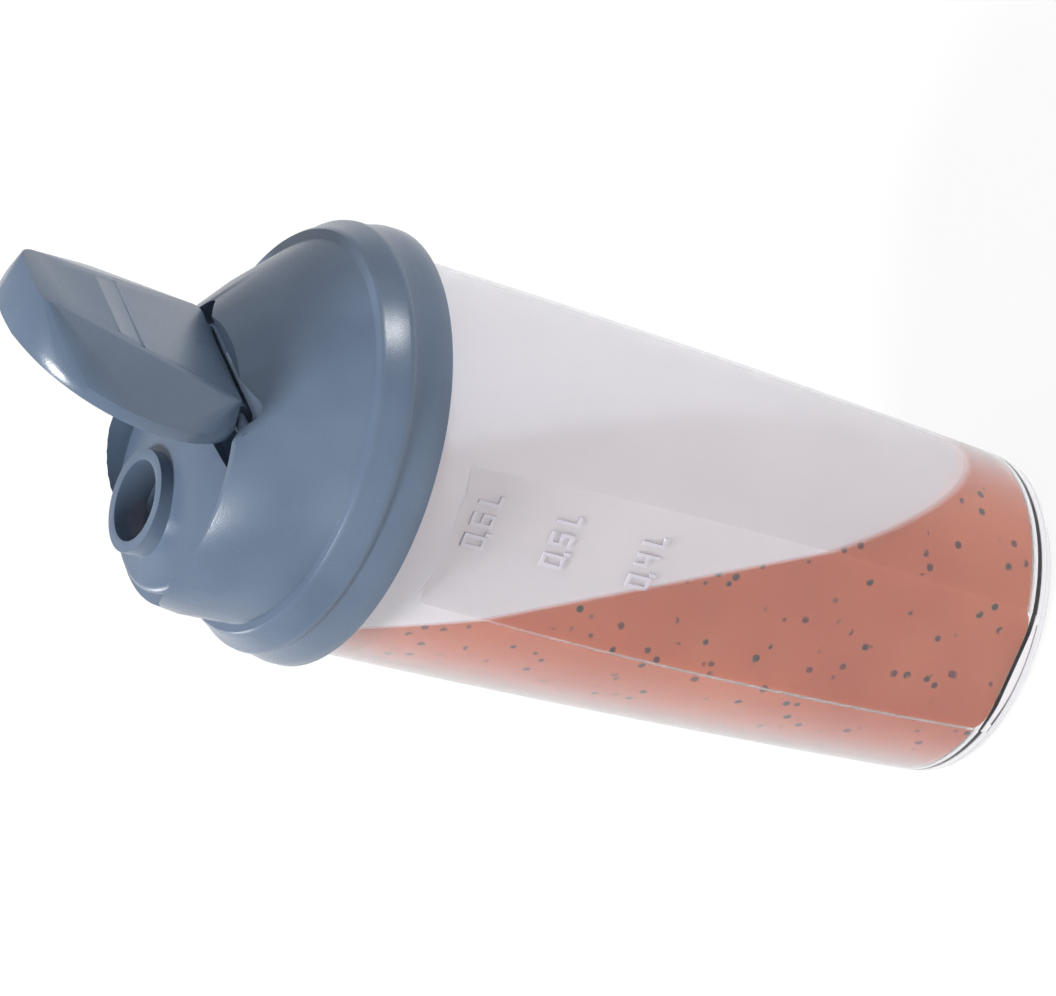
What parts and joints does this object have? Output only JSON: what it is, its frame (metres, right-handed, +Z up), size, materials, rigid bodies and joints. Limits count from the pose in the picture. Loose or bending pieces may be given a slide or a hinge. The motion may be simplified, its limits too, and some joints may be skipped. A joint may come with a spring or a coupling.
{
  "type": "salad dressing shaker bottle",
  "caption": "See-through beaker with flat grip panels and dressing inside, domed press-on lid with a pouring ring and a hinged flip cap standing open.",
  "frame": {"origin": "centre of the base, on the standing plane", "axes": "+Z up from base to lid, pouring ring toward -X, hinge pin along Y"},
  "size_m": [0.094, 0.094, 0.2424],
  "materials": {
    "clear_plastic": "translucent, smooth",
    "clear_marks": "translucent, raised",
    "dressing": "opaque liquid with herb specks",
    "slate_plastic": "slightly frosted",
    "seal_rubber": "soft, matt"
  },
  "bodies": {
    "beaker": {"beaker": "clear_plastic", "volume_marks": "clear_marks", "dressing": "dressing"},
    "lid": {"lid_shell": "slate_plastic", "lid_seal": "seal_rubber", "pour_deck": "slate_plastic", "hinge_pin": "slate_plastic"},
    "cap": {"flip_cap": "slate_plastic", "cap_plug": "seal_rubber"}
  },
  "joints": [
    {"name": "lid_lift", "type": "slide", "parent": "beaker", "child": "lid", "axis": [0, 0, 1], "range_m": [0, 0.04]},
    {"name": "cap_hinge", "type": "hinge", "parent": "lid", "child": "cap", "pos_m": [0.0087, 0, 0.1907], "axis": [0, 1, 0], "range_deg": [-94, 0]}
  ]
}
